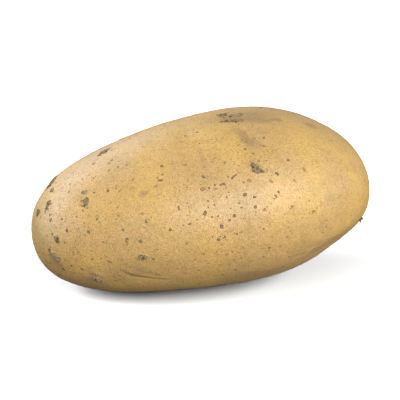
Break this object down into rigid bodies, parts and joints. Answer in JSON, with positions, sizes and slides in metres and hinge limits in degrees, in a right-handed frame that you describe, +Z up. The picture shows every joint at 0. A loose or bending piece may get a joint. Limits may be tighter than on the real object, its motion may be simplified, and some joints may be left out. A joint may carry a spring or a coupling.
{
  "type": "potato",
  "caption": "Long oval raw potato with smooth pale yellow skin, shallow eyes, cork spots and flecks of dried soil, lying on its own small flat spot.",
  "frame": {"origin": "middle of the object's box in plan, on the surface that it rests on", "axes": "+Z up, +X along the potato towards its fuller, raised end, -Y towards its front side"},
  "size_m": [0.115, 0.064, 0.0575],
  "materials": {
    "skin": "washed skin with a low sheen",
    "lenticel_cork": "dull cork",
    "soil": "dry crumbs"
  },
  "bodies": {
    "root": {"potato": "skin"}
  },
  "joints": []
}
